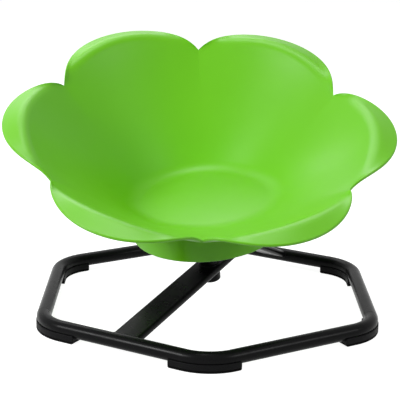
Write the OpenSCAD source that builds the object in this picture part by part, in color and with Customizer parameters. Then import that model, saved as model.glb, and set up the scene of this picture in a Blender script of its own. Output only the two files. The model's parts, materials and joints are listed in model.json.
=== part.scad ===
// Spinning seat for small children: a six-petal bowl that turns on a post
// set square to a rising crossbar, over a hexagonal tube base.

/* [Base ring] */
// Centre of the ring to a sharp corner of the hexagon, on the tube's centreline
ring_r = 245; // [220:1:290]
// Outside diameter of the ring tube
tube_d = 19; // [17:0.5:24]
// Wall of the ring tube
tube_wall = 1.5; // [1:0.1:2.5]
// Bend radius of the corners, on the centreline
bend_r = 58; // [45:1:75]
// Gap left at the butt seam of the ring tube
seam_gap = 0.4; // [0.2:0.1:1]
// Distance of the seam from the middle of its side, towards the back corner
seam_offset = 50; // [40:1:55]
// Length of the spigot sleeve inside the seam
sleeve_l = 60; // [40:1:80]

/* [Crossbar] */
// Width of the crossbar tube
bar_w = 39; // [34:0.5:42]
// Thickness of the crossbar tube
bar_t = 9.5; // [9:0.5:12]
// Wall of the crossbar tube
bar_wall = 1.5; // [1:0.1:1.9]
// Corner radius of the crossbar tube
bar_corner = 4.2; // [3:0.1:4.3]
// Slope of the crossbar, which is also the lean of the spin axis
bar_rise = 9.85; // [7:0.05:12]
// Distance of the spin axis from the middle of the ring, up the crossbar
hub_offset = 5.5; // [0:0.5:10]
// Distance from the middle of the ring to the bend where the crossbar turns down
knee_u = 89; // [80:1:110]
// Bend radius of the crossbar there, on its centreline
knee_r = 50; // [40:1:70]

/* [Feet] */
// Width of a foot across the tube
foot_w = 20.5; // [18:0.5:26]
// Height of the rubber pad
pad_h = 3; // [2.5:0.1:5]
// Height of the shoe from the pad to the underside of the tube
shoe_h = 2.3; // [2:0.1:5]
// How far the shoe's cheeks rise beside the tube
cheek_h = 5.6; // [3:0.1:7]
// Length of the foot past the end of each corner bend
foot_tail = 12.5; // [12:0.5:20]
// How far each foot sits off the middle of its corner, anticlockwise from the back one
foot_shift = [0, 5.2, 9.3, -5.5, -3.8, -1]; // [-8:0.1:9.5]
// Radius of the rounded lower ends of the pad
pad_end_r = 2.5; // [1:0.1:2.5]
// Depth of the groove line between pad and shoe
groove_d = 1; // [0.5:0.1:1.5]
// Diameter of the shoe screws
shoe_screw_d = 3.5; // [3:0.1:4.5]

/* [Post and bearings] */
// Diameter of the socket welded under the crossbar
socket_d = 28.6; // [26:0.2:32]
// Height of the socket below the crossbar
socket_h = 14.8; // [12:0.2:20]
// Diameter of the post's collar below the bearings
collar_d = 27; // [25:0.5:30]
// Height of the collar from the crossbar to the lower bearing
collar_h = 19.75; // [16:0.25:24]
// Bore of the bearings
bearing_bore = 20; // [19:0.5:21]
// Outside diameter of the bearings
bearing_od = 42; // [40:0.5:46]
// Width of a bearing
bearing_b = 12; // [11:0.5:14]
// Diameter of the balls
ball_d = 6.35; // [5.5:0.05:7]
// Number of balls in a bearing
ball_count = 9; // [7:1:10]
// Length of the spacer between the inner races
spacer_l = 15; // [10:1:22]
// Thread diameter at the top of the post
thread_d = 16; // [14:0.5:17]
// Height of the lock nut
nut_h = 15; // [12:0.5:17]
// Width of the lock nut across its flats
nut_af = 24; // [22:0.5:27]
// Thickness of the clamp washer
clamp_washer_t = 2.5; // [1.5:0.5:4]

/* [Bearing housing] */
// Wall of the housing's barrel
barrel_wall = 6; // [5:0.5:9]
// Radius of the flange under the seat
flange_r = 68; // [64:1:72]
// Thickness of the flange
flange_t = 6; // [4:0.5:9]
// Room over the upper bearing up to the top of the flange
head_room = 22; // [20:0.5:28]
// Radius of the bolt circle
bolt_circle_r = 55; // [50:0.5:57]
// Number of bolts that hold the seat
bolt_count = 6; // [3:1:8]
// Diameter of the seat bolts
bolt_d = 6; // [5:0.5:8]
// Outside diameter of the brass inserts
insert_d = 9; // [8.5:0.1:11]
// Length of the brass inserts
insert_l = 10; // [8:0.5:11]

/* [Seat bowl] */
// Wall of the moulded seat
seat_wall = 4; // [3:0.1:6]
// Radius of the flat floor
floor_r = 81.5; // [75:0.5:86]
// Tangent length of the fillet between floor and wall
floor_fillet = 14; // [10:1:20]
// Height of the bosses under the floor
boss_h = 12; // [12:0.5:18]
// Diameter of the bosses
boss_d = 18; // [15:0.5:22]
// Depth of the skirt below the underside of the floor
skirt_h = 42.7; // [38:0.1:56]
// Outside radius of the skirt at its lower edge
skirt_r = 99.2; // [94:0.1:101]

/* [Petals] */
// Height of the rim plane over the seat floor, on the spin axis
rim_h = 81.5; // [62:0.5:100]
// Lean of the rim against the seat floor
rim_lean = 15.8; // [0:0.1:22]
// Direction of the rim's low side, from the rising end of the crossbar
lean_dir = -124.6; // [-180:0.1:180]
// Radius to the tips of the petals
tip_r = 255.7; // [240:0.1:275]
// Radius to the notches between the petals
notch_r = 213.4; // [200:0.1:222]
// Radius to the crease where the wall turns out into the lip
crease_r = 226; // [223:0.5:232]
// Rise of the petal lips over the rim plane, which lies below the bottom of the notches
notch_depth = 24; // [10:0.5:35]
// How far the crease stands over the straight line of the wall, at the middle of a petal
crest_rise = 13.5; // [8:0.5:16]
// Distance over which the crease is rounded
crease_round = 10; // [6:1:16]

/* [Hidden] */
// Clearance between pieces that slide together or are pressed together
slip = 0.05;
// Clearance between a ball and its groove
ball_play = 0.2;
// Running gap round the post's collar
collar_gap = 0.6;
// A bent tube is a little thinner in its bends, and its straights run this far into them
bend_thin = 0.1;
bend_lap = 1.5;
// How far a cutter runs past the face it cuts
past = 1;

// Base ring
sides = 6;
tube_r = tube_d / 2;
side_half = 180 / sides;
apothem = ring_r * cos(side_half);
side_l = ring_r - 2 * bend_r * tan(side_half);
bend_centre = ring_r - bend_r / cos(side_half);
tube_z = pad_h + shoe_h + tube_r;

// Crossbar section and path, in the vertical plane of the bar
bar_flat = 0.4;
bar_edge = min(bar_corner, (bar_t - bar_flat) / 2);
bar_az = 60;
hub_z = tube_z + (apothem + hub_offset) * tan(bar_rise);
knee_z = tube_z + (apothem + knee_u) * tan(bar_rise);
bar_fall = atan2(knee_z - tube_z, apothem - knee_u);
knee_tangent = knee_r * tan((bar_rise + bar_fall) / 2);
rise_l = (apothem + knee_u) / cos(bar_rise) - knee_tangent + bend_lap;
fall_l = (apothem - knee_u) / cos(bar_fall) - knee_tangent + bend_lap;

// Stack along the spin axis, from the crossbar's centreline up
bar_top = bar_t / 2;
socket_s = -bar_top - socket_h;
socket_floor = 3;
socket_edge = 1.5;
lower_s = bar_top + collar_h;
spacer_s = lower_s + bearing_b;
upper_s = spacer_s + spacer_l;
washer_s = upper_s + bearing_b;
nut_s = washer_s + clamp_washer_t;
thread_end = 1.5;
post_top = nut_s + nut_h + thread_end;
seat_short = 0.5;
flange_top = washer_s + head_room;
floor_under = flange_top + boss_h;
floor_s = floor_under + seat_wall;
rim_s = floor_s + rim_h;
skirt_s = floor_under - skirt_h;

// Bearings
ball_r = ball_d / 2;
pitch_r = (bearing_bore + bearing_od) / 4;
groove_r = ball_r + ball_play;
land_share = 0.57;
cage_share = 0.38;
land_gap = ball_r * land_share;
cage_half_w = ball_r * cage_share;
cage_t = 0.9;
cage_post_r = cage_half_w - 0.3;

// Housing
barrel_r = bearing_od / 2 + barrel_wall;
circlip_t = 1.5;
circlip_depth = 1.2;
circlip_mouth = 6;
cap_t = 2;
cap_h = 8;
cap_wall = 1.5;
housing_s = lower_s - 2 * circlip_t;
shoulder_step = 2.5;
shoulder_r = bearing_od / 2 - shoulder_step;
barrel_fillet = 6;
bolt_washer_t = 1.5;
bolt_washer_r = bolt_d;
bolt_head_h = 0.65 * bolt_d;
bolt_head_d = 1.9 * bolt_d;
bolt_play = 0.3;
washer_play = 0.2;
bolt_short = 2;
bolt_end = flange_top + insert_l - bolt_short;
insert_room = 0.8;
blind_depth = insert_l + insert_room;

// Feet
screw_angle = 17;
screw_head_h = 1.4;
screw_head_r = shoe_screw_d;
screw_tip = 6;
groove_h = 1;

// Seat: petal form
petals = 6;
petal_half = 180 / petals;
corner_r = floor_r + floor_fillet;
lobe_p = 2.05;
lobe_q = 1.12;
lift_p = 8;
notch_drop = 0.64;
notch_z = notch_depth * (1 - notch_drop);
crest_p = 1.3;
pull = 5;
wall_drop = 1.25 * seat_wall;
rim_round = 0.3 * seat_wall;
skirt_round = 1.5;
boss_sink = seat_wall / 4;
joint_v = 0.08;
lip_start = 0.4;
lip_middle = 0.75;
under_middle = 0.5;
petal_steps = 8;
fillet_steps = [0, 0.35, 0.7, 1];
wall_steps = [0.26, 0.45, 0.62, 0.76, 0.86];
crease_steps = [0, 0.3, 0.6, 1];
under_steps = [0.8, 0.6, 0.35, joint_v];

// Directions of the leaning rim
lean_out = [cos(lean_dir), sin(lean_dir), 0];
lean_side = [-sin(lean_dir), cos(lean_dir), 0];
rim_up = sin(rim_lean) * lean_out + [0, 0, cos(rim_lean)];
rim_out = cos(rim_lean) * lean_out - [0, 0, sin(rim_lean)];

corners = [1:sides];

steel_black = "#1b1b1d";
zinc = "#b9bcc0";
race_steel = "#a7abb0";
shoe_black = "#232325";
rubber_black = "#171717";
brass = "#b98f45";
leaf_green = "#5cbf1f";

// Frames
module hub_frame() {
    rotate([0, 0, bar_az])
        translate([hub_offset, 0, hub_z])
            rotate([0, -bar_rise, 0])
                children();
}

module at_corner(k) {
    rotate([0, 0, side_half + 360 / sides * k])
        translate([bend_centre, 0, 0])
            children();
}

// Base ring
module ring_side(k, r) {
    rotate([0, 0, 360 / sides * k])
        translate([apothem, 0, tube_z])
            rotate([90, 0, 0])
                cylinder(r = r, h = side_l + 2 * bend_lap, center = true, $fn = 48);
}

module ring_bend(k, r) {
    at_corner(k)
        translate([0, 0, tube_z])
            rotate([0, 0, -side_half])
                rotate_extrude(angle = 2 * side_half, $fn = 96)
                    translate([bend_r, 0])
                        circle(r = r - bend_thin, $fn = 48);
}

module ring_solid(r) {
    for (k = [0:sides - 1]) {
        ring_side(k, r);
        ring_bend(k, r);
    }
}

module seam_place() {
    translate([0, 0, tube_z])
        rotate([0, 0, bar_az])
            translate([apothem, seam_offset, 0])
                rotate([90, 0, 0])
                    children();
}

module frame_ring() {
    color(steel_black)
        difference() {
            ring_solid(tube_r);
            ring_solid(tube_r - tube_wall);
            seam_place()
                cylinder(r = tube_r + past, h = seam_gap, center = true, $fn = 48);
            screw_places()
                translate([0, 0, pad_h])
                    cylinder(d = shoe_screw_d + 2 * slip, h = shoe_h + tube_r, $fn = 24);
        }
}

module ring_sleeve() {
    color(zinc)
        seam_place()
            difference() {
                cylinder(r = tube_r - tube_wall - slip, h = sleeve_l, center = true, $fn = 48);
                cylinder(r = tube_r - 2 * tube_wall, h = sleeve_l + past, center = true, $fn = 48);
            }
}

// Crossbar
module round_rect(x, y, r) {
    square([x - 2 * r, y], center = true);
    square([x, y - 2 * r], center = true);
    for (i = [-1, 1], j = [-1, 1])
        translate([i * (x / 2 - r), j * (y / 2 - r)])
            circle(r = r, $fn = 32);
}

module bar_section(thin = 0) {
    t = bar_t - 2 * thin;
    w = bar_w - 2 * thin;
    difference() {
        round_rect(t, w, bar_edge);
        round_rect(t - 2 * bar_wall, w - 2 * bar_wall, bar_edge - bar_wall);
    }
}

module bar_run(u, z, slope, l) {
    translate([u, 0, z])
        rotate([0, 90 - slope, 0])
            linear_extrude(l)
                bar_section();
}

module bar_knee() {
    u = knee_u - knee_tangent * cos(bar_rise) + knee_r * sin(bar_rise);
    z = knee_z - knee_tangent * sin(bar_rise) - knee_r * cos(bar_rise);
    translate([u, 0, z])
        rotate([90, 0, 0])
            rotate([0, 0, 90 - bar_fall])
                rotate_extrude(angle = bar_rise + bar_fall, $fn = 96)
                    translate([knee_r, 0])
                        bar_section(bend_thin);
}

module crossbar() {
    color(steel_black)
        rotate([0, 0, bar_az])
            difference() {
                union() {
                    bar_run(-apothem, tube_z, bar_rise, rise_l);
                    bar_knee();
                    bar_run(apothem - fall_l * cos(bar_fall), tube_z + fall_l * sin(bar_fall),
                            -bar_fall, fall_l);
                }
                for (side = [-1, 1])
                    translate([side * apothem, 0, tube_z])
                        rotate([90, 0, 0])
                            cylinder(r = tube_r + slip, h = 2 * bar_w, center = true, $fn = 48);
                translate([hub_offset, 0, hub_z])
                    rotate([0, -bar_rise, 0])
                        cylinder(d = thread_d + 2 * slip, h = 2 * bar_t, center = true, $fn = 48);
            }
}

// Feet; way is 1 at the anticlockwise end of a foot and -1 at the other
function tail(k, way) = foot_tail + way * foot_shift[k - 1];

module foot_end(way) {
    mirror([0, way < 0 ? 1 : 0, 0])
        rotate([0, 0, side_half])
            translate([bend_r, 0, 0])
                children();
}

module foot_band(k, w, z, h) {
    rotate([0, 0, -side_half])
        rotate_extrude(angle = 2 * side_half, $fn = 96)
            translate([bend_r - w / 2 + bend_thin, z])
                square([w - 2 * bend_thin, h]);
    for (way = [-1, 1])
        foot_end(way)
            translate([-w / 2, -bend_lap, z])
                cube([w, tail(k, way) + bend_lap, h]);
}

module screw_places() {
    for (k = [0:sides - 1])
        at_corner(k)
            for (side = [-1, 1])
                rotate([0, 0, side * screw_angle])
                    translate([bend_r, 0, 0])
                        children();
}

module foot_shoe(k) {
    color(shoe_black)
        difference() {
            at_corner(k)
                foot_band(k, foot_w, pad_h, shoe_h + cheek_h);
            ring_side(k, tube_r + slip);
            ring_side(k + 1, tube_r + slip);
            ring_bend(k, tube_r + slip);
            at_corner(k)
                for (side = [-1, 1])
                    rotate([0, 0, side * screw_angle])
                        translate([bend_r, 0, pad_h])
                            screw_hole();
        }
}

module screw_hole() {
    translate([0, 0, -past])
        cylinder(r = screw_head_r + slip, h = screw_head_h + past, $fn = 24);
    cylinder(d = shoe_screw_d + 2 * slip, h = shoe_h + tube_r, $fn = 24);
}

module pad_end_cut() {
    difference() {
        translate([-foot_w, -pad_end_r, -past])
            cube([2 * foot_w, pad_end_r + past, pad_end_r + past]);
        translate([0, -pad_end_r, pad_end_r])
            rotate([0, 90, 0])
                cylinder(r = pad_end_r, h = 3 * foot_w, center = true, $fn = 48);
    }
}

module foot_pad(k) {
    color(rubber_black)
        at_corner(k)
            difference() {
                union() {
                    foot_band(k, foot_w, 0, pad_h - groove_h);
                    foot_band(k, foot_w - 2 * groove_d, 0, pad_h);
                }
                for (way = [-1, 1])
                    foot_end(way)
                        translate([0, tail(k, way), 0])
                            pad_end_cut();
            }
}

module shoe_screws() {
    color(zinc)
        screw_places()
            translate([0, 0, pad_h]) {
                cylinder(r = screw_head_r, h = screw_head_h, $fn = 24);
                cylinder(d = shoe_screw_d, h = shoe_h + screw_tip, $fn = 24);
            }
}

// Post through the crossbar
module post_socket() {
    color(steel_black)
        hub_frame()
            translate([0, 0, socket_s])
                difference() {
                    union() {
                        cylinder(d1 = socket_d - 2 * socket_edge, d2 = socket_d, h = socket_edge, $fn = 64);
                        translate([0, 0, socket_edge])
                            cylinder(d = socket_d, h = socket_h - socket_edge, $fn = 64);
                    }
                    translate([0, 0, socket_floor])
                        cylinder(d = thread_d + 2 * slip, h = socket_h, $fn = 48);
                }
}

module pivot_post() {
    color(steel_black)
        hub_frame() {
            translate([0, 0, socket_s + socket_floor])
                cylinder(d = thread_d, h = bar_top - socket_s, $fn = 48);
            translate([0, 0, bar_top])
                cylinder(d = collar_d, h = collar_h, $fn = 64);
            translate([0, 0, lower_s - past])
                cylinder(d = bearing_bore - 2 * slip, h = washer_s - seat_short - lower_s + past, $fn = 64);
            translate([0, 0, lower_s])
                cylinder(d = thread_d - 2 * slip, h = post_top - lower_s, $fn = 48);
        }
}

module ring_between(r_in, r_out, h) {
    difference() {
        cylinder(r = r_out, h = h, $fn = 64);
        translate([0, 0, -past])
            cylinder(r = r_in, h = h + 2 * past, $fn = 64);
    }
}

module ball_groove() {
    translate([0, 0, bearing_b / 2])
        rotate_extrude($fn = 64)
            translate([pitch_r, 0])
                circle(r = groove_r, $fn = 48);
}

module inner_race(s) {
    color(race_steel)
        hub_frame()
            translate([0, 0, s])
                difference() {
                    ring_between(bearing_bore / 2, pitch_r - land_gap, bearing_b);
                    ball_groove();
                }
}

module outer_race(s) {
    color(race_steel)
        hub_frame()
            translate([0, 0, s])
                difference() {
                    ring_between(pitch_r + land_gap, bearing_od / 2, bearing_b);
                    ball_groove();
                }
}

module ball_set(s) {
    color(zinc)
        hub_frame()
            for (i = [1:ball_count])
                rotate([0, 0, 360 / ball_count * i])
                    translate([pitch_r, 0, s + bearing_b / 2])
                        sphere(r = ball_r, $fn = 32);
}

module ball_cage(s) {
    color(brass)
        hub_frame()
            translate([0, 0, s + bearing_b / 2]) {
                for (side = [0, 1])
                    mirror([0, 0, side])
                        translate([0, 0, groove_r])
                            ring_between(pitch_r - cage_half_w, pitch_r + cage_half_w, cage_t);
                for (i = [1:ball_count])
                    rotate([0, 0, 360 / ball_count * (i + 0.5)])
                        translate([pitch_r, 0, 0])
                            cylinder(r = cage_post_r, h = 2 * groove_r + cage_t, center = true, $fn = 24);
            }
}

module race_spacer() {
    color(zinc)
        hub_frame()
            translate([0, 0, spacer_s])
                ring_between(bearing_bore / 2, pitch_r - land_gap, spacer_l);
}

module clamp_washer() {
    color(zinc)
        hub_frame()
            translate([0, 0, washer_s])
                ring_between(thread_d / 2 + slip, pitch_r - land_gap, clamp_washer_t);
}

module lock_nut() {
    color(zinc)
        hub_frame()
            translate([0, 0, nut_s])
                difference() {
                    cylinder(r = nut_af / 2 / cos(30), h = nut_h, $fn = 6);
                    translate([0, 0, -past])
                        cylinder(d = thread_d, h = nut_h + 2 * past, $fn = 48);
                }
}

// Housing under the seat
module bolt_places() {
    for (i = [1:bolt_count])
        rotate([0, 0, 360 / bolt_count * i])
            translate([bolt_circle_r, 0, 0])
                children();
}

module housing_solid() {
    translate([0, 0, housing_s])
        cylinder(r = barrel_r, h = flange_top - housing_s, $fn = 96);
    translate([0, 0, flange_top - flange_t])
        cylinder(r = flange_r, h = flange_t, $fn = 96);
    translate([0, 0, flange_top - flange_t - barrel_fillet])
        cylinder(r1 = barrel_r, r2 = barrel_r + barrel_fillet, h = barrel_fillet, $fn = 96);
}

module bearing_housing() {
    color(steel_black)
        hub_frame()
            difference() {
                housing_solid();
                translate([0, 0, housing_s - past])
                    cylinder(d = bearing_od + 2 * slip, h = spacer_s - housing_s + past, $fn = 96);
                translate([0, 0, housing_s])
                    cylinder(r = shoulder_r, h = flange_top, $fn = 96);
                translate([0, 0, upper_s])
                    cylinder(d = bearing_od + 2 * slip, h = flange_top, $fn = 96);
                for (s = [lower_s - circlip_t, washer_s])
                    translate([0, 0, s])
                        cylinder(r = bearing_od / 2 + circlip_depth, h = circlip_t, $fn = 96);
                bolt_places()
                    translate([0, 0, flange_top - flange_t - past])
                        cylinder(d = bolt_d + 2 * bolt_play, h = flange_t + 2 * past, $fn = 32);
            }
}

module circlip(s) {
    color(zinc)
        hub_frame()
            translate([0, 0, s])
                difference() {
                    ring_between(shoulder_r, bearing_od / 2 + circlip_depth - slip, circlip_t);
                    translate([0, -circlip_mouth / 2, -past])
                        cube([bearing_od, circlip_mouth, circlip_t + 2 * past]);
                }
}

module dust_cap() {
    color(shoe_black)
        hub_frame()
            translate([0, 0, housing_s - cap_t]) {
                ring_between(collar_d / 2 + collar_gap, barrel_r + slip + cap_wall, cap_t);
                ring_between(barrel_r + slip, barrel_r + slip + cap_wall, cap_t + cap_h);
            }
}

module seat_bolts() {
    color(zinc)
        hub_frame()
            bolt_places()
                translate([0, 0, flange_top - flange_t - bolt_washer_t]) {
                    translate([0, 0, -bolt_head_h])
                        cylinder(d = bolt_head_d, h = bolt_head_h, $fn = 6);
                    cylinder(d = bolt_d, h = bolt_end - flange_top + flange_t + bolt_washer_t, $fn = 32);
                }
}

module seat_washers() {
    color(zinc)
        hub_frame()
            bolt_places()
                translate([0, 0, flange_top - flange_t - bolt_washer_t])
                    ring_between(bolt_d / 2 + washer_play, bolt_washer_r, bolt_washer_t);
}

module seat_inserts() {
    color(brass)
        hub_frame()
            bolt_places()
                translate([0, 0, flange_top])
                    ring_between(bolt_d / 2 + slip, insert_d / 2, insert_l);
}

// Seat form, in the hub's frame; a is the angle round the spin axis
function unit(v) = v / norm(v);
function mix(p, q, f) = p + (q - p) * f;
function bend(p, c, q, f) = (1 - f) * (1 - f) * p + 2 * f * (1 - f) * c + f * f * q;

// Place across a petal: 0 at its middle, -1 and 1 at the notches
function across(a) = ((a + petal_half + 720) % (2 * petal_half) - petal_half) / petal_half;
function lobe(a) = pow(max(0, 1 - pow(abs(across(a)), lobe_p)), lobe_q);
function swell(a) = 1 - across(a) * across(a);

// A point z above the leaning rim plane
function rim_point(r, a, z) =
    [0, 0, rim_s]
    + r * cos(a - lean_dir) * rim_out
    + r * sin(a - lean_dir) * lean_side
    + z * rim_up;

function edge_r(a) = notch_r + (tip_r - notch_r) * lobe(a);
function edge_z(a) = notch_depth * (1 - notch_drop * pow(abs(across(a)), lift_p));
function edge(a, inset, drop) = rim_point(edge_r(a) - inset, a, edge_z(a) - drop);
function flat_ring(r, s, a) = [r * cos(a), r * sin(a), s];
function corner(a) = flat_ring(corner_r, floor_s, a);

// The wall runs straight from the floor's corner past the notches, and curls up to a crest on each petal
function reach(a) = 1 + (crease_r - notch_r) / (notch_r - corner_r) * swell(a);
function straight_end(a) = mix(corner(a), rim_point(notch_r, a, notch_z), reach(a));
function crest(a) = crest_rise * pow(max(0, swell(a)), crest_p) * rim_up;
function crease(a) = straight_end(a) + crest(a);
function wall(a, v) = mix(corner(a), straight_end(a), v) + crest(a) * pow(v, pull);
function fillet(a, f) =
    bend(flat_ring(floor_r, floor_s, a), corner(a),
         corner(a) + floor_fillet * unit(straight_end(a) - corner(a)), f);
function crease_v(a) = 1 - crease_round / norm(straight_end(a) - corner(a));
function lip(a, w) = mix(crease(a), edge(a, rim_round, 0), w);
function rounded_crease(a, f) = bend(wall(a, crease_v(a)), crease(a), lip(a, lip_start), f);

function below(p, drop) = p - [0, 0, drop];
function under_lip(p) = p - seat_wall * rim_up;

// One section of the shell: over the floor's edge, up the wall, round the rim and back to the skirt
function section(a) = concat(
    [for (f = fillet_steps) fillet(a, f)],
    [for (v = wall_steps) wall(a, v)],
    [for (f = crease_steps) rounded_crease(a, f)],
    [lip(a, lip_middle), edge(a, rim_round, 0), edge(a, 0, rim_round)],
    [edge(a, 0, seat_wall - rim_round), edge(a, rim_round, seat_wall)],
    [under_lip(lip(a, under_middle)), under_lip(rounded_crease(a, under_middle))],
    [for (v = under_steps) below(wall(a, v), wall_drop)],
    [flat_ring(skirt_r, skirt_s + skirt_round, a), flat_ring(skirt_r - skirt_round, skirt_s, a)],
    [flat_ring(skirt_r - seat_wall, skirt_s, a), flat_ring(skirt_r, floor_under, a)]
);

// Angles round the bowl, closer together towards the notches
angles = [
    for (k = [0:petals - 1], i = [-petal_steps:petal_steps - 1])
        2 * petal_half * k + petal_half * sin(90 * i / petal_steps)
];

module bowl() {
    sections = [for (a = angles) section(a)];
    n = len(sections);
    m = len(sections[0]);
    points = concat(
        [for (s = sections, p = s) p],
        [[0, 0, floor_s], [0, 0, floor_under]]
    );
    skin = [
        for (i = [0:n - 1], j = [0:m - 2], half = [0, 1])
            let (p = i * m + j, q = (i + 1) % n * m + j)
                half == 0 ? [p, q, p + 1] : [q, q + 1, p + 1]
    ];
    top = [for (i = [0:n - 1]) [n * m, (i + 1) % n * m, i * m]];
    bottom = [for (i = [0:n - 1]) [n * m + 1, i * m + m - 1, (i + 1) % n * m + m - 1]];
    polyhedron(points, concat(skin, top, bottom), convexity = 6);
}

module seat_shell() {
    color(leaf_green)
        hub_frame()
            difference() {
                union() {
                    bowl();
                    bolt_places()
                        translate([0, 0, flange_top])
                            cylinder(d = boss_d, h = boss_h + boss_sink, $fn = 48);
                }
                bolt_places()
                    translate([0, 0, flange_top - past])
                        cylinder(d = insert_d + 2 * slip, h = blind_depth + past, $fn = 48);
            }
}

frame_ring();
ring_sleeve();
crossbar();
post_socket();
pivot_post();
for (k = corners) foot_shoe(k);
for (k = corners) foot_pad(k);
shoe_screws();
inner_race(lower_s);  // lower_inner_race
inner_race(upper_s);  // upper_inner_race
race_spacer();
clamp_washer();
lock_nut();
ball_cage(lower_s);  // lower_cage
ball_set(lower_s);  // lower_balls
ball_cage(upper_s);  // upper_cage
ball_set(upper_s);  // upper_balls
outer_race(lower_s);  // lower_outer_race
outer_race(upper_s);  // upper_outer_race
bearing_housing();
circlip(lower_s - circlip_t);  // lower_circlip
circlip(washer_s);  // upper_circlip
dust_cap();
seat_bolts();
seat_washers();
seat_inserts();
seat_shell();
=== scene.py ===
import json
import math

import bpy
import numpy as np
from mathutils import Matrix, Vector


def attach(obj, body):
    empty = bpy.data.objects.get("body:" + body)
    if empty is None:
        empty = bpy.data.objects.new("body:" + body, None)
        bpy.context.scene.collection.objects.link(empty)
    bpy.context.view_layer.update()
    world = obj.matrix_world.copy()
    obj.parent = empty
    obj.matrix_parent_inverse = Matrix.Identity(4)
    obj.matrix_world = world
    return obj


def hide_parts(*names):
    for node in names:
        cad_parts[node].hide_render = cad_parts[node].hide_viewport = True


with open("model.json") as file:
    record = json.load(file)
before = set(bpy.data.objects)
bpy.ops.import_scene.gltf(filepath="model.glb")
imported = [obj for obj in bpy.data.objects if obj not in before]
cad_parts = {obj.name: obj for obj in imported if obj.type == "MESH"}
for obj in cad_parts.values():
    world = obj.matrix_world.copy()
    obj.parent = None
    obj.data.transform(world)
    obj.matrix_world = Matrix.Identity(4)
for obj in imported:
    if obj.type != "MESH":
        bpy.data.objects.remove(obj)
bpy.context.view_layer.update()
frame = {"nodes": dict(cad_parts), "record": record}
print("frame loaded:", len(frame["nodes"]), "nodes")

mm = 0.001


# colours are written as sRGB hex and used as linear values
def linear(hexColour):
    parts = [int(hexColour[i:i + 2], 16) / 255 for i in (1, 3, 5)]
    return [c / 12.92 if c <= 0.04045 else ((c + 0.055) / 1.055) ** 2.4 for c in parts] + [1.0]


# one node with its settings, socket values and links; sockets go by name or number
def addNode(tree, kind, values=None, links=None, **settings):
    node = tree.nodes.new(kind)
    for name, value in settings.items():
        setattr(node, name, value)
    for socket, value in (values or {}).items():
        node.inputs[socket].default_value = value
    for socket, source in (links or {}).items():
        tree.links.new(source, node.inputs[socket])
    return node


# a surface with two close tones, uneven gloss and a raised grain; sizes in mm
def makeFinish(name, look):
    material = bpy.data.materials.new(name)
    material.use_nodes = True
    tree = material.node_tree
    shader = tree.nodes["Principled BSDF"]
    shader.inputs["Metallic"].default_value = look.get("metallic", 0.0)
    if "ior" in look:
        shader.inputs["IOR"].default_value = look["ior"]
    place = addNode(tree, "ShaderNodeTexCoord").outputs["Object"]
    stretched = addNode(tree, "ShaderNodeMapping", {"Scale": look.get("stretch", (1, 1, 1))},
                        {"Vector": place}).outputs[0]
    tone = addNode(tree, "ShaderNodeTexNoise", {"Scale": 1 / (look["toneSize"] * mm), "Detail": 3.0},
                   {"Vector": place})
    mix = addNode(tree, "ShaderNodeMix", {6: linear(look["colour"]), 7: linear(look["second"])},
                  {0: tone.outputs[0]}, data_type="RGBA")
    tree.links.new(mix.outputs[2], shader.inputs["Base Color"])
    gloss = addNode(tree, "ShaderNodeTexNoise", {"Scale": 1 / (look["glossSize"] * mm), "Detail": 4.0},
                    {"Vector": stretched})
    low, high = look["roughness"]
    rough = addNode(tree, "ShaderNodeMapRange",
                    {"From Min": 0.3, "From Max": 0.7, "To Min": low, "To Max": high},
                    {"Value": gloss.outputs[0]})
    tree.links.new(rough.outputs[0], shader.inputs["Roughness"])
    grain = addNode(tree, look["grain"], {"Scale": 1 / (look["grainSize"] * mm)}, {"Vector": stretched})
    bump = addNode(tree, "ShaderNodeBump",
                   {"Strength": look["grainStrength"], "Distance": look["grainHeight"] * mm},
                   {"Height": grain.outputs[0]})
    tree.links.new(bump.outputs[0], shader.inputs["Normal"])
    return material


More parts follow.
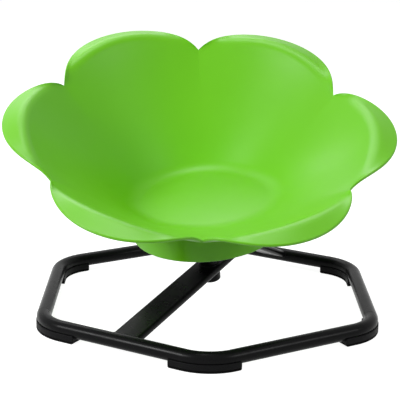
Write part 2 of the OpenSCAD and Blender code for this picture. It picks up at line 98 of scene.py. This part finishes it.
finishes = {
    # leaf green moulded polypropylene: satin gloss, a trace of flow shading, soft highlights on every bend
    "moulded_seat_plastic": ("moulded polypropylene", {
        "colour": "#66bb06", "second": "#6cc00a", "toneSize": 80, "ior": 1.42,
        "roughness": (0.35, 0.42), "glossSize": 45,
        "grain": "ShaderNodeTexNoise", "grainSize": 2.5, "grainHeight": 0.02, "grainStrength": 0.3}),
    # black polyester powder coat on steel tube: even satin gloss with a fine orange peel,
    # which is drawn coarse enough to show
    "powder_coated_steel": ("powder coated steel", {
        "colour": "#0d0d0e", "second": "#121213", "toneSize": 9, "ior": 1.16,
        "roughness": (0.25, 0.33), "glossSize": 14,
        "grain": "ShaderNodeTexNoise", "grainSize": 2.2, "grainHeight": 0.02, "grainStrength": 0.4}),
    # glass filled polypropylene shoe: spark eroded mould, so a dull even grain
    "moulded_shoe_plastic": ("grained polypropylene", {
        "colour": "#0d0d0e", "second": "#121213", "toneSize": 7, "ior": 1.17,
        "roughness": (0.48, 0.60), "glossSize": 6,
        "grain": "ShaderNodeTexVoronoi", "grainSize": 1.3, "grainHeight": 0.05, "grainStrength": 0.5}),
    # pressed rubber: no gloss, a faint grey bloom in patches
    "foot_rubber": ("pressed rubber", {
        "colour": "#0b0b0b", "second": "#101010", "toneSize": 11, "ior": 1.15,
        "roughness": (0.68, 0.82), "glossSize": 8,
        "grain": "ShaderNodeTexNoise", "grainSize": 1.6, "grainHeight": 0.06, "grainStrength": 0.5}),
    # zinc plated steel: pale bluish metal, cloudy from the bath, fine turning marks
    "zinc_plated_steel": ("zinc plated steel", {
        "colour": "#b4b8bd", "second": "#c6c8cb", "toneSize": 5, "metallic": 1.0,
        "roughness": (0.28, 0.42), "glossSize": 4, "stretch": (1, 1, 6),
        "grain": "ShaderNodeTexNoise", "grainSize": 1.5, "grainHeight": 0.01, "grainStrength": 0.4}),
    # hardened bearing steel: ground and polished, nearly a mirror
    "bearing_steel": ("ground bearing steel", {
        "colour": "#b0b2b5", "second": "#bcbdc0", "toneSize": 6, "metallic": 1.0,
        "roughness": (0.12, 0.22), "glossSize": 3, "stretch": (1, 1, 8),
        "grain": "ShaderNodeTexNoise", "grainSize": 1.2, "grainHeight": 0.005, "grainStrength": 0.3}),
    # pressed brass: warm yellow, a little dulled
    "cage_brass": ("pressed brass", {
        "colour": "#b8903f", "second": "#a67f36", "toneSize": 4, "metallic": 1.0,
        "roughness": (0.26, 0.40), "glossSize": 3,
        "grain": "ShaderNodeTexNoise", "grainSize": 1.4, "grainHeight": 0.01, "grainStrength": 0.3}),
    # die cast aluminium under black coating: the cast skin shows as a slight waviness
    "cast_aluminium": ("coated cast aluminium", {
        "colour": "#18191a", "second": "#202122", "toneSize": 8, "ior": 1.52,
        "roughness": (0.40, 0.52), "glossSize": 9,
        "grain": "ShaderNodeTexNoise", "grainSize": 3.0, "grainHeight": 0.06, "grainStrength": 0.5}),
}
materials = {slot: makeFinish(name, look) for slot, (name, look) in finishes.items()}

for part in frame["record"]["subparts"]:
    cadNode = frame["nodes"][part["node"]]
    cadNode.data.materials.clear()
    cadNode.data.materials.append(materials[part["material_slot"]])
print("materials made:", len(materials))


# a new mesh piece from points in mm, riding on a body, with a finish from the record's slot
def addPiece(name, points, faces, body, slot):
    mesh = bpy.data.meshes.new(name)
    mesh.from_pydata((np.asarray(points) * mm).tolist(), [], [list(map(int, f)) for f in faces])
    mesh.polygons.foreach_set("use_smooth", [True] * len(mesh.polygons))
    mesh.materials.append(materials[slot])
    piece = bpy.data.objects.new(name, mesh)
    bpy.context.scene.collection.objects.link(piece)
    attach(piece, body)
    return piece


# quads between rows of points, each row closed on itself; looped joins the last row to the first
def gridFaces(rows, columns, looped=False, start=0):
    faces = []
    for i in range(rows if looped else rows - 1):
        for j in range(columns):
            a, b = start + i * columns + j, start + i * columns + (j + 1) % columns
            c = start + (i + 1) % rows * columns + (j + 1) % columns
            d = start + (i + 1) % rows * columns + j
            faces.append((a, b, c, d))
    return faces


# sizes of the base that several pieces share, in mm and degrees
base = {"ringRadius": 245, "tubeRadius": 9.5, "tubeHeight": 14.8, "bendRadius": 58,
        "barAzimuth": 60, "barRise": 9.85, "hubOffset": 5.5, "kneeDistance": 89,
        "barWidth": 39, "barThickness": 9.5, "barCorner": 4.2}
apothem = base["ringRadius"] * math.cos(math.pi / 6)
bendCentre = base["ringRadius"] - base["bendRadius"] / math.cos(math.pi / 6)
barSlope = math.tan(math.radians(base["barRise"]))
barTurn = np.array(Matrix.Rotation(math.radians(base["barAzimuth"]), 3, "Z"))
hubHeight = base["tubeHeight"] + (apothem + base["hubOffset"]) * barSlope
hubPlace = barTurn @ np.array([base["hubOffset"], 0, hubHeight])
hubTurn = Matrix.Rotation(math.radians(base["barAzimuth"]), 3, "Z") @ Matrix.Rotation(
    -math.radians(base["barRise"]), 3, "Y")


# from the leaning frame of the spin axis to the row frame
def fromHub(points):
    return np.asarray(points) @ np.array(hubTurn).T + hubPlace


# the seat: one moulding, lofted through sections round the spin axis
seat = {"floorRadius": 81.5, "floorHeight": 101.5, "floorFillet": 14, "wall": 4, "wallDrop": 5,
        "rimHeight": 183, "lean": 15.8, "leanDirection": -124.6, "tipRadius": 255.7, "notchRadius": 213.4,
        "creaseRadius": 226, "crestRise": 13.5, "crestPower": 1.3, "notchDepth": 24, "notchDrop": 0.64,
        "liftPower": 8, "creaseRound": 10, "lipStart": 0.4, "lobePowers": (2.05, 1.12), "pull": 5,
        "rimRound": 1.6, "skirtRadius": 99.2, "skirtBottom": 54.8, "skirtRound": 1.5, "underFloor": 97.5,
        "skirtJoint": 0.08, "jointFillet": 7, "jointStart": 1.75, "innerEdge": 0.5,
        "petals": 6, "petalSteps": 40, "floorRows": (20, 45, 65), "underRows": (75, 45, 20), "underInset": 5,
        "underWall": (0.82, 0.16), "underCrease": 0.25,
        "skirtOutside": (0.35, 0.6, 0.85, 1), "skirtInside": (0.3, 0.6, 0.88)}
leanAngle, leanTurn = math.radians(seat["lean"]), math.radians(seat["leanDirection"])
leanOut = np.array([math.cos(leanTurn), math.sin(leanTurn), 0])
leanSide = np.array([-math.sin(leanTurn), math.cos(leanTurn), 0])
upAxis = np.array([0, 0, 1.0])
rimUp = math.sin(leanAngle) * leanOut + math.cos(leanAngle) * upAxis
rimOut = math.cos(leanAngle) * leanOut - math.sin(leanAngle) * upAxis


def column(values):
    return np.asarray(values)[:, None]


def rimPoint(radius, angle, height):
    return (seat["rimHeight"] * upAxis + column(radius * np.cos(angle - leanTurn)) * rimOut
            + column(radius * np.sin(angle - leanTurn)) * leanSide + column(height) * rimUp)


def flatRing(radius, height, angle):
    return np.stack([radius * np.cos(angle), radius * np.sin(angle), height + 0 * angle], 1)


def bend(first, control, last, f):
    return (1 - f) ** 2 * first + 2 * f * (1 - f) * control + f * f * last


def seatRows():
    halfPetal = math.pi / seat["petals"]
    steps = np.arange(-seat["petalSteps"], seat["petalSteps"])
    acrossOne = np.sin(math.pi / 2 * steps / seat["petalSteps"])  # closer together towards the notches
    across = np.tile(acrossOne, seat["petals"])
    angle = np.repeat(np.arange(seat["petals"]) * 2 * halfPetal, len(steps)) + across * halfPetal
    lobe = (1 - np.abs(across) ** seat["lobePowers"][0]).clip(0) ** seat["lobePowers"][1]
    swell = 1 - across ** 2
    edgeRadius = seat["notchRadius"] + (seat["tipRadius"] - seat["notchRadius"]) * lobe
    edgeHeight = seat["notchDepth"] * (1 - seat["notchDrop"] * np.abs(across) ** seat["liftPower"])
    creaseRadius = seat["notchRadius"] + (seat["creaseRadius"] - seat["notchRadius"]) * swell
    cornerRadius = seat["floorRadius"] + seat["floorFillet"]
    corner = flatRing(cornerRadius, seat["floorHeight"], angle)
    notchHeight = seat["notchDepth"] * (1 - seat["notchDrop"])
    notchRing = rimPoint(seat["notchRadius"] + 0 * angle, angle, notchHeight + 0 * angle)
    reach = (creaseRadius - cornerRadius) / (seat["notchRadius"] - cornerRadius)
    straightEnd = corner + (notchRing - corner) * column(reach)  # one cone through floor and notches
    crest = column(seat["crestRise"] * swell.clip(0) ** seat["crestPower"]) * rimUp
    crease = straightEnd + crest
    wallLength = column(np.linalg.norm(straightEnd - corner, axis=1))
    creaseShare = 1 - seat["creaseRound"] / wallLength
    filletShare = seat["floorFillet"] / wallLength
    inset = np.minimum(seat["rimRound"], (edgeRadius - creaseRadius) / 3)  # no fold at a notch

    def wall(v):
        return corner + (straightEnd - corner) * v + crest * v ** seat["pull"]

    def edge(insetBy, drop):
        return rimPoint(edgeRadius - insetBy, angle, edgeHeight - drop)

    def lip(w):
        return crease + (edge(inset, 0) - crease) * w

    rows = [flatRing(r, seat["floorHeight"], angle) for r in (*seat["floorRows"], seat["floorRadius"])]
    rows += [bend(flatRing(seat["floorRadius"], seat["floorHeight"], angle), corner, wall(filletShare), f)
             for f in np.linspace(0, 1, 9)[1:]]
    rows += [wall(filletShare + (creaseShare - filletShare) * f) for f in np.linspace(0, 1, 15)[1:]]
    rows += [bend(wall(creaseShare), crease, lip(seat["lipStart"]), f) for f in np.linspace(0, 1, 13)[1:]]
    rows += [lip(w) for w in np.linspace(seat["lipStart"], 1, 6)[1:]]
    quarter = np.linspace(0, math.pi / 2, 6)
    radius = seat["rimRound"]
    rows += [edge(inset * (1 - math.sin(q)), radius * (1 - math.cos(q))) for q in quarter[1:]]
    rows += [edge(inset * (1 - math.cos(q)), seat["wall"] - radius * (1 - math.sin(q))) for q in quarter]
    rows += [lip(w) - seat["wall"] * rimUp for w in np.linspace(1, seat["lipStart"], 6)[1:]]
    rows += [bend(wall(creaseShare), crease, lip(seat["lipStart"]), f) - seat["wall"] * rimUp
             for f in np.linspace(1, seat["underCrease"], 10)[1:]]
    drop = seat["wallDrop"] * upAxis
    jointShare = seat["skirtJoint"]
    rows += [wall(v) - drop for v in np.linspace(*seat["underWall"], 12)]
    joint = wall(jointShare) - drop
    skirtTop = flatRing(seat["skirtRadius"], seat["skirtBottom"] + seat["skirtRound"], angle)
    down = (skirtTop - joint) / column(np.linalg.norm(skirtTop - joint, axis=1))
    rows += [bend(wall(jointShare * seat["jointStart"]) - drop, joint, joint + seat["jointFillet"] * down, f)
             for f in np.linspace(0, 1, 7)]
    rows += [joint + (skirtTop - joint) * f for f in seat["skirtOutside"]]
    bottom, skirtRound = seat["skirtBottom"], seat["skirtRound"]
    rows += [flatRing(seat["skirtRadius"] - skirtRound + skirtRound * math.cos(q),
                      bottom + skirtRound - skirtRound * math.sin(q), angle) for q in quarter[1:]]
    innerRadius = seat["skirtRadius"] - seat["wall"]
    rows += [flatRing(innerRadius + seat["innerEdge"], bottom, angle)]
    rows += [flatRing(innerRadius, bottom + seat["innerEdge"], angle)]
    rows += [flatRing(innerRadius + seat["wall"] * f, bottom + (seat["underFloor"] - bottom) * f, angle)
             for f in seat["skirtInside"]]
    rows += [flatRing(r, seat["underFloor"], angle)
             for r in (seat["skirtRadius"] - seat["underInset"], *seat["underRows"])]
    return rows


seatGrid = seatRows()
around = len(seatGrid[0])
seatPoints = np.concatenate(seatGrid + [[[0, 0, seat["floorHeight"]], [0, 0, seat["underFloor"]]]])
seatFaces = [f[::-1] for f in gridFaces(len(seatGrid), around)]
topPole, lastRow = len(seatPoints) - 2, (len(seatGrid) - 1) * around
for j in range(around):
    seatFaces.append((topPole, j, (j + 1) % around))
    seatFaces.append((topPole + 1, lastRow + (j + 1) % around, lastRow + j))
seatPiece = addPiece("seat_bowl", fromHub(seatPoints), seatFaces, "seat", "moulded_seat_plastic")
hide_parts("seat_shell")

# bosses under the floor: turned rings with a moulded fillet at the root
boss = {"count": 6, "circle": 55, "radius": 9, "bore": 4.55, "boreEnd": 2, "bottom": 85.5, "top": 98,
        "fillet": 3, "chamfer": 0.6, "around": 40}


def turned(profile, count):
    turn = np.linspace(0, 2 * math.pi, count, endpoint=False)
    return np.concatenate([flatRing(r, z, turn) for r, z in profile])


bossProfile = [(boss["bore"], boss["top"] - boss["boreEnd"]),
               (boss["bore"], boss["bottom"] + boss["chamfer"]),
               (boss["bore"] + boss["chamfer"], boss["bottom"]),
               (boss["radius"] - boss["chamfer"], boss["bottom"]),
               (boss["radius"], boss["bottom"] + boss["chamfer"])]
for q in np.linspace(0, math.pi / 2, 6):
    bossProfile.append((boss["radius"] + boss["fillet"] * (1 - math.cos(q)),
                        boss["top"] - boss["fillet"] * (1 - math.sin(q))))
bossOne = turned(bossProfile, boss["around"])
bossPoints, bossFaces = [], []
for k in range(boss["count"]):
    turn = 2 * math.pi * k / boss["count"]
    start = len(bossPoints) * len(bossOne)
    bossFaces += [f[::-1] for f in gridFaces(len(bossProfile), boss["around"], start=start)]
    bossPoints.append(bossOne + boss["circle"] * np.array([math.cos(turn), math.sin(turn), 0]))
addPiece("seat_bosses", fromHub(np.concatenate(bossPoints)), bossFaces, "seat", "moulded_seat_plastic")
print("seat made:", len(seatFaces), "faces")

# feet: a shoe and a pad swept round each corner of the ring
foot = {"width": 20.5, "padHeight": 3, "shoeHeight": 2.3, "cheek": 5.6, "tail": 12.5,
        "shifts": (0, 5.2, 9.3, -5.5, -3.8, -1), "endRadius": 2.5, "endEdge": 0.7,
        "endSteps": (0, 0.15, 0.4, 0.7, 1.1, 1.7, 2.5), "grooveDepth": 1, "grooveHeight": 1,
        "grooveEdge": 0.4, "edge": 0.9, "clear": 0.05, "treadWidth": 1.6, "treadDepth": 0.6,
        "treadSlope": 0.3, "treads": (-5.4, -1.8, 1.8, 5.4), "sharpAngle": 40}


# stations along a foot that sits shift mm off its corner:
# place on the path, outward direction, distance from the end
def footPath(shift):
    stations = []
    half = math.pi / 6
    for d in foot["endSteps"]:
        stations.append((-half, d - foot["tail"] + shift, d))
    for a in np.linspace(-half, half, 25):
        stations.append((a, 0, foot["tail"]))
    for d in foot["endSteps"][::-1]:
        stations.append((half, foot["tail"] + shift - d, d))
    path = []
    for a, along, fromEnd in stations:
        out = np.array([math.cos(a), math.sin(a)])
        path.append((base["bendRadius"] * out + along * np.array([-out[1], out[0]]), out, fromEnd))
    return path


def roundedCorner(point, before, after, radius, steps=5):
    p, b, a = (np.array(v, float) for v in (point, before, after))
    start = p + (b - p) / np.linalg.norm(b - p) * radius
    end = p + (a - p) / np.linalg.norm(a - p) * radius
    return [tuple(bend(start, p, end, f)) for f in np.linspace(0, 1, steps)]


def shoeProfile():
    half, low = foot["width"] / 2, foot["padHeight"]
    high = low + foot["shoeHeight"] + foot["cheek"]
    radius = base["tubeRadius"] + foot["clear"]
    reach = math.acos((base["tubeHeight"] - high) / radius)
    saddle = [(radius * math.sin(t), base["tubeHeight"] - radius * math.cos(t))
              for t in np.linspace(-reach, reach, 21)]
    left = roundedCorner((-half, low), (0, low), (-half, high), foot["edge"])
    left += roundedCorner((-half, high), (-half, low), (0, high), foot["edge"])
    right = [(-x, z) for x, z in left[::-1]]
    return left + saddle + right


def padProfile():
    half, high = foot["width"] / 2, foot["padHeight"]
    step = high - foot["grooveHeight"]
    left = roundedCorner((-half, 0), (0, 0), (-half, step), foot["edge"])
    left += roundedCorner((-half, step), (-half, 0), (0, step), foot["grooveEdge"], 3)
    left += [(-half + foot["grooveDepth"], step), (-half + foot["grooveDepth"], high)]
    right = [(-x, z) for x, z in left[::-1]]
    sole = []
    mouth, depth = foot["treadWidth"] / 2, foot["treadDepth"]
    for x in foot["treads"][::-1]:
        sole += [(x + mouth, 0), (x + mouth - foot["treadSlope"], depth),
                 (x - mouth + foot["treadSlope"], depth), (x - mouth, 0)]
    return left + right + sole


def sweepFoot(profile, path, low, high, endRadius):
    profile = np.array(profile)
    middle = np.array([0, (low + high) / 2])
    points = []
    for place, out, fromEnd in path:
        section = profile.copy()
        if fromEnd < foot["endEdge"]:  # the ends are eased like the long edges
            shrink = foot["endEdge"] - math.sqrt(foot["endEdge"] ** 2 - (foot["endEdge"] - fromEnd) ** 2)
            section -= np.sign(section - middle) * np.minimum(shrink, abs(section - middle))
        if fromEnd < endRadius:  # the sole curls up at the ends
            rise = endRadius - math.sqrt(endRadius ** 2 - (endRadius - fromEnd) ** 2)
            section[:, 1] = high - (high - section[:, 1]) * (high - low - rise) / (high - low)
        points.append(np.column_stack([place + section[:, :1] * out, section[:, 1]]))
    rows, columns = len(points), len(profile)
    faces = gridFaces(rows, columns)
    faces += [tuple(range(columns - 1, -1, -1)), tuple(range((rows - 1) * columns, rows * columns))]
    return np.concatenate(points), faces


shoeTop = foot["padHeight"] + foot["shoeHeight"] + foot["cheek"]
for k in range(1, 7):
    turn = math.radians(30 + 60 * k)
    spin = np.array(Matrix.Rotation(turn, 3, "Z"))
    shift = bendCentre * np.array([math.cos(turn), math.sin(turn), 0])
    for kind, profile, low, high, endRadius, slot in (
            ("shoe", shoeProfile(), foot["padHeight"], shoeTop, 0, "moulded_shoe_plastic"),
            ("pad", padProfile(), 0, foot["padHeight"], foot["endRadius"], "foot_rubber")):
        points, faces = sweepFoot(profile, footPath(foot["shifts"][k - 1]), low, high, endRadius)
        piece = addPiece(f"corner_{kind}_{k}", points @ spin.T + shift, faces, "base", slot)
        piece.data.set_sharp_from_angle(angle=math.radians(foot["sharpAngle"]))
        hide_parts(f"foot_{kind}_{k}")
print("feet made")

# weld beads where the crossbar meets the ring, the post and its socket, all under the powder coat
weld = {"radius": 1.3, "ripplePitch": 3.2, "ripple": 0.12, "sink": 0.5, "around": 10, "step": 0.8,
        "collarRadius": 13.5, "socketRadius": 14.3}


def resample(points, step):
    points = np.asarray(points, float)
    closedLine = np.concatenate([points, points[:1]])
    lengths = np.concatenate([[0], np.cumsum(np.linalg.norm(np.diff(closedLine, axis=0), axis=1))])
    count = max(12, int(lengths[-1] / step))
    at = np.linspace(0, lengths[-1], count, endpoint=False)
    return np.stack([np.interp(at, lengths, closedLine[:, i]) for i in range(3)], 1)


def addBead(name, line, radius):
    line = resample(line, weld["step"])
    ahead = np.roll(line, -1, 0) - np.roll(line, 1, 0)
    ahead /= column(np.linalg.norm(ahead, axis=1))
    side = np.cross(ahead, line.mean(0) - line)
    side /= column(np.linalg.norm(side, axis=1))
    other = np.cross(ahead, side)
    along = np.arange(len(line)) * weld["step"]
    ripples = round(along[-1] / weld["ripplePitch"])
    swellAt = 1 + weld["ripple"] * np.abs(np.sin(math.pi * ripples * np.arange(len(line)) / len(line)))
    turn = np.linspace(0, 2 * math.pi, weld["around"], endpoint=False)
    rings = (line[:, None] + radius * swellAt[:, None, None]
             * (np.cos(turn)[None, :, None] * side[:, None] + np.sin(turn)[None, :, None] * other[:, None]))
    faces = gridFaces(len(line), weld["around"], looped=True)
    return addPiece(name, rings.reshape(-1, 3), faces, "base", "powder_coated_steel")


def barOutline(width, thickness, corner, count=6):
    outline = []
    for cx, cy, start in ((1, 1, 0), (-1, 1, 90), (-1, -1, 180), (1, -1, 270)):
        for t in np.radians(np.linspace(start, start + 90, count)):
            outline.append((cx * (width / 2 - corner) + corner * math.cos(t),
                            cy * (thickness / 2 - corner) + corner * math.sin(t)))
    return outline


kneeHeight = base["tubeHeight"] + (apothem + base["kneeDistance"]) * barSlope
barFall = math.atan2(kneeHeight - base["tubeHeight"], apothem - base["kneeDistance"])
for name, end, slope in (("weld_front", -1, math.radians(base["barRise"])), ("weld_back", 1, barFall)):
    line = []
    for y, h in barOutline(base["barWidth"], base["barThickness"], base["barCorner"]):
        t = math.sqrt(base["tubeRadius"] ** 2 - h * h) + weld["sink"]
        line.append((end * (apothem - t * math.cos(slope) + h * math.sin(slope)), y,
                     base["tubeHeight"] + t * math.sin(slope) + h * math.cos(slope)))
    addBead(name, np.array(line) @ barTurn.T, weld["radius"])
for name, radius, height in (("weld_collar", weld["collarRadius"], base["barThickness"] / 2),
                             ("weld_socket", weld["socketRadius"], -base["barThickness"] / 2)):
    turn = np.linspace(0, 2 * math.pi, 48, endpoint=False)
    addBead(name, fromHub(flatRing(radius, height, turn)), weld["radius"])
print("welds made")

# camera at the photograph's viewing angle; angles in degrees, lengths in metres
cameraSet = {"elevation": 19.4436, "distance": 1.73112, "aimRight": -0.0067, "aimUp": 0.0736,
             "roll": 0.8278, "turn": -0.859, "focalPixels": 1260.86, "imagePixels": 400, "sensor": 36}
tilt, roll = math.radians(cameraSet["elevation"]), math.radians(cameraSet["roll"])
back = Vector((0, -math.cos(tilt), math.sin(tilt)))
right = Vector((1, 0, 0))
aim = (-back + right * cameraSet["aimRight"] + right.cross(-back) * cameraSet["aimUp"]).normalized()
level = aim.cross(Vector((0, 0, 1))).normalized()
above = level.cross(aim)
camX = math.cos(roll) * level + math.sin(roll) * above
camY = -math.sin(roll) * level + math.cos(roll) * above
looking = Matrix((camX, camY, -aim)).transposed().to_4x4()
cameraData = bpy.data.cameras.new("photo_camera")
cameraData.sensor_width = cameraSet["sensor"]
cameraData.lens = cameraSet["focalPixels"] / cameraSet["imagePixels"] * cameraSet["sensor"]
camera = bpy.data.objects.new("photo_camera", cameraData)
camera.matrix_world = (Matrix.Translation((0, 0, base["tubeHeight"] * mm))
                       @ Matrix.Rotation(math.radians(cameraSet["turn"]), 4, "Z")
                       @ Matrix.Translation(back * cameraSet["distance"]) @ looking)
bpy.context.scene.collection.objects.link(camera)
bpy.context.scene.camera = camera


# 1 for rays from the camera, in reflections and through clear things, 0 for light on surfaces
def seenRays(tree):
    rays = addNode(tree, "ShaderNodeLightPath").outputs
    direct = addNode(tree, "ShaderNodeMath", None, {0: rays["Is Camera Ray"], 1: rays["Is Glossy Ray"]},
                     operation="MAXIMUM")
    return addNode(tree, "ShaderNodeMath", None, {0: direct.outputs[0], 1: rays["Is Transmission Ray"]},
                   operation="MAXIMUM").outputs[0]


# white floor: bright to the camera and to reflections, and it keeps a soft shadow
floorSet = {"size": 12, "drop": 0.0004, "glow": 0.95, "paint": "#b4b4b4"}
floorMesh = bpy.data.meshes.new("floor")
s = floorSet["size"] / 2
floorMesh.from_pydata([(-s, -s, 0), (s, -s, 0), (s, s, 0), (-s, s, 0)], [], [(0, 1, 2, 3)])
floor = bpy.data.objects.new("floor", floorMesh)
floor.location.z = -floorSet["drop"]
bpy.context.scene.collection.objects.link(floor)
floorPaint = bpy.data.materials.new("floor paint")
floorPaint.use_nodes = True
tree = floorPaint.node_tree
tree.nodes.clear()
seen = seenRays(tree)
strength = addNode(tree, "ShaderNodeMath", {1: floorSet["glow"]}, {0: seen}, operation="MULTIPLY")
paint = addNode(tree, "ShaderNodeBsdfDiffuse", {"Color": linear(floorSet["paint"])})
glow = addNode(tree, "ShaderNodeEmission", {"Color": (1, 1, 1, 1)}, {"Strength": strength.outputs[0]})
mixed = addNode(tree, "ShaderNodeAddShader", None, {0: paint.outputs[0], 1: glow.outputs[0]})
clear = addNode(tree, "ShaderNodeBsdfTransparent")
side = addNode(tree, "ShaderNodeNewGeometry")
oneSided = addNode(tree, "ShaderNodeMixShader", None,
                   {0: side.outputs["Backfacing"], 1: mixed.outputs[0], 2: clear.outputs[0]})
addNode(tree, "ShaderNodeOutputMaterial", None, {"Surface": oneSided.outputs[0]})
floorMesh.materials.append(floorPaint)

# studio: white surroundings, dimmer as light than they look
studio = {"light": 0.06, "white": 1.0}
world = bpy.data.worlds.new("studio")
bpy.context.scene.world = world
world.use_nodes = True
tree = world.node_tree
tree.nodes.clear()
seen = seenRays(tree)
room = addNode(tree, "ShaderNodeBackground", {"Color": (1, 1, 1, 1), "Strength": studio["light"]})
white = addNode(tree, "ShaderNodeBackground", {"Color": (1, 1, 1, 1), "Strength": studio["white"]})
mixed = addNode(tree, "ShaderNodeMixShader", None, {0: seen, 1: room.outputs[0], 2: white.outputs[0]})
addNode(tree, "ShaderNodeOutputWorld", None, {"Surface": mixed.outputs[0]})

softboxes = {
    "key_left": {"place": (-1.9, -1.1, 1.3), "target": (0, 0, 0.15), "size": (0.7, 0.5), "power": 47},
    "overhead": {"place": (-0.2, 0.1, 2.2), "target": (0, 0, 0.2), "size": (1.0, 0.8), "power": 15},
    "back_top": {"place": (-0.4, 1.4, 1.7), "target": (0, 0, 0.2), "size": (1.3, 0.8), "power": 12},
    "fill_right": {"place": (1.9, -1.1, 1.2), "target": (0, 0, 0.15), "size": (0.7, 0.5), "power": 14},
}
for name, box in softboxes.items():
    lamp = bpy.data.lights.new(name, "AREA")
    lamp.shape = "RECTANGLE"
    lamp.size, lamp.size_y = box["size"]
    lamp.energy = box["power"]
    holder = bpy.data.objects.new(name, lamp)
    holder.location = box["place"]
    towards = Vector(box["target"]) - Vector(box["place"])
    holder.rotation_euler = towards.to_track_quat("-Z", "Y").to_euler()
    bpy.context.scene.collection.objects.link(holder)
print("camera, floor and lamps made")

bpy.context.scene.view_settings.view_transform = "Standard"
